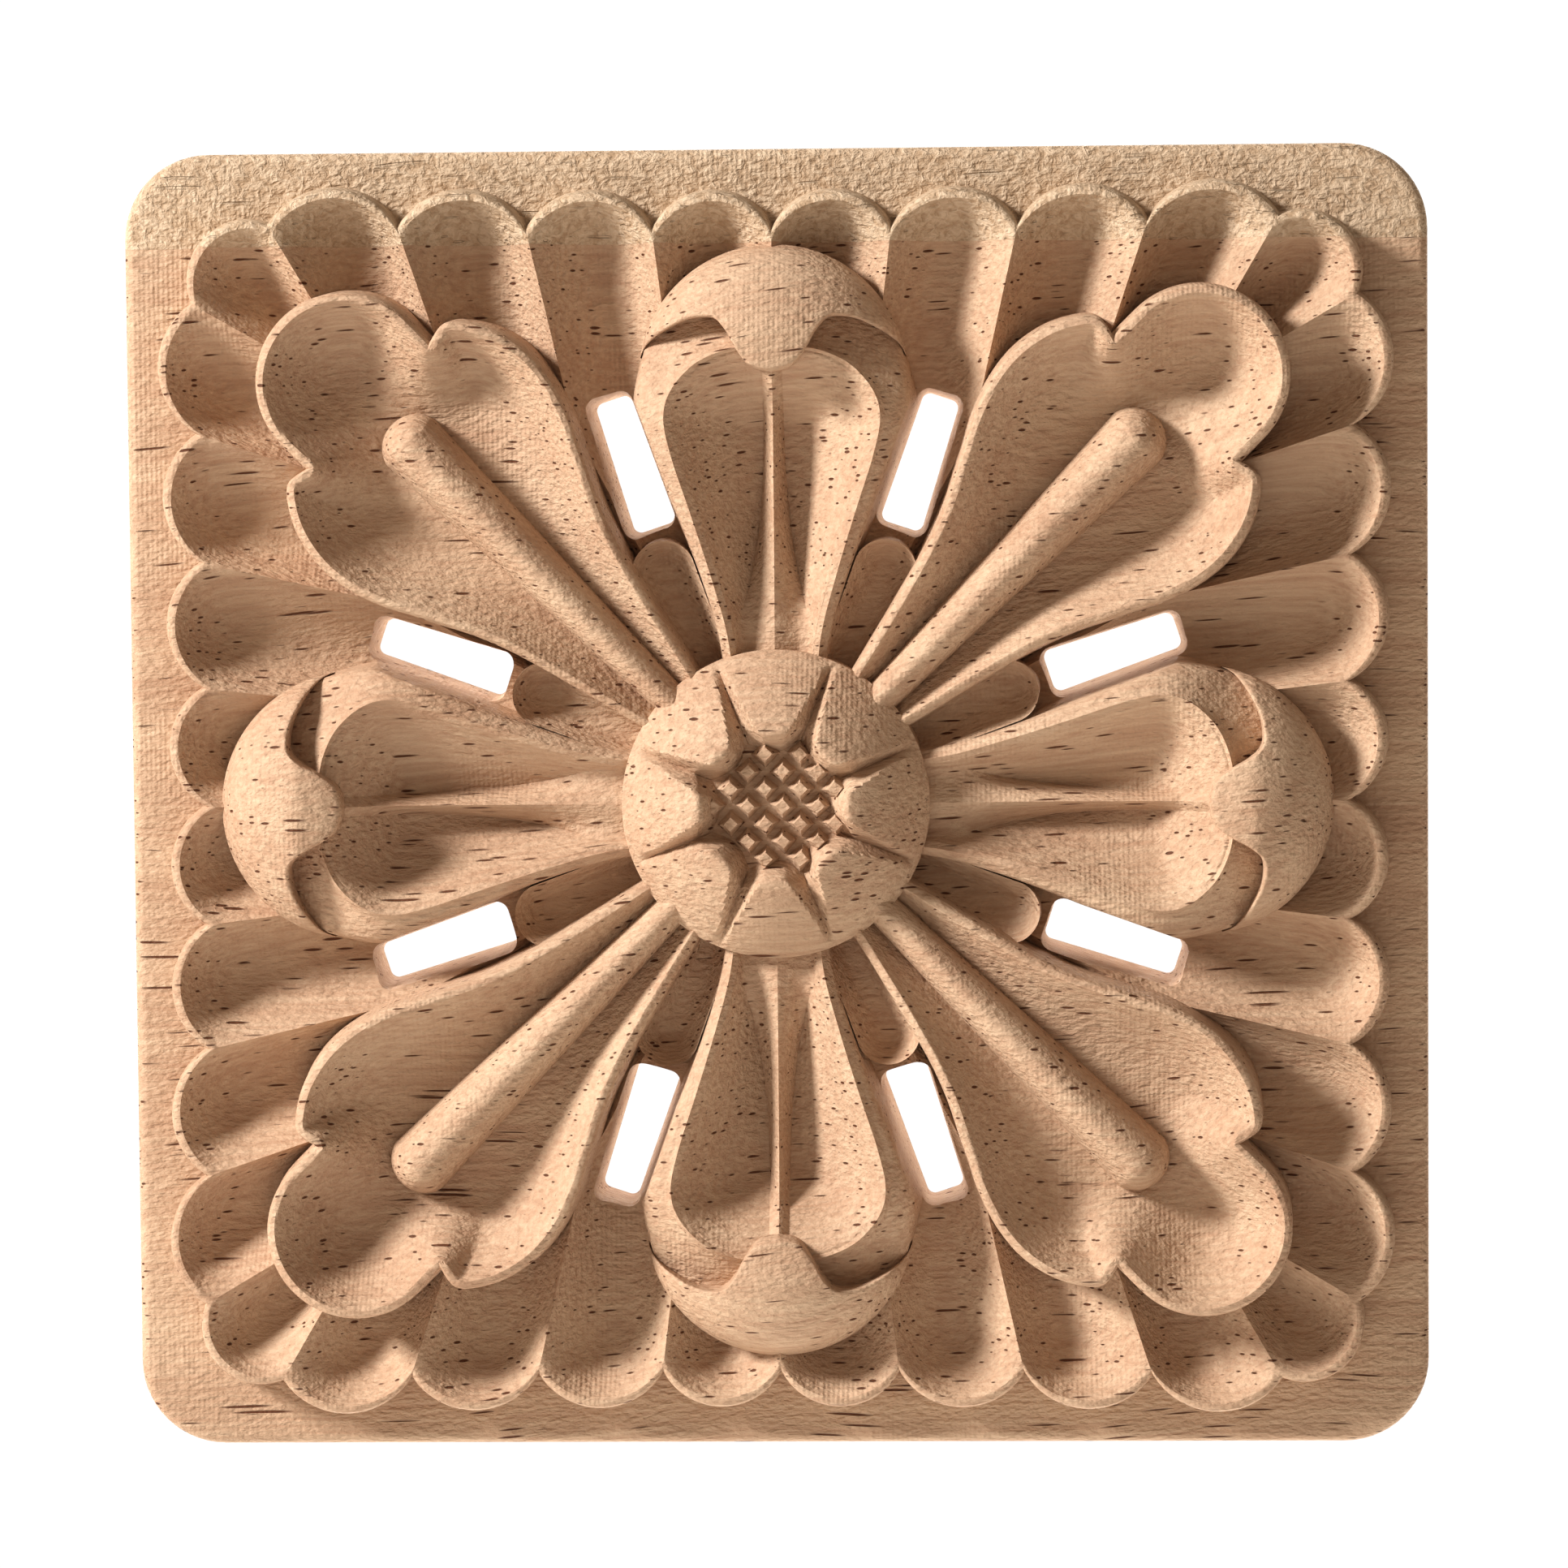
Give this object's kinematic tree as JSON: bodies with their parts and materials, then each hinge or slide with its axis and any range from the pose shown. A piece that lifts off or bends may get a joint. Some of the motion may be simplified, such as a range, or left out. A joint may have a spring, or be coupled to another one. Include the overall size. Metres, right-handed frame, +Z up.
{
  "type": "carved corner block rosette",
  "caption": "Square wooden corner block with rounded corners and a flat back, carved in relief with a flower of leaves and curled petals inside a scalloped, fluted border.",
  "frame": {"origin": "centre of the flat back face", "axes": "+Y out of the flat back towards the wall or furniture it is fixed to, +Z up the block, +X to the right for somebody looking at the carving"},
  "size_m": [0.08, 0.012, 0.08],
  "materials": {
    "wood": "unfinished, as left by the carving cutter"
  },
  "bodies": {
    "root": {"carved_corner_block": "wood"}
  },
  "joints": []
}
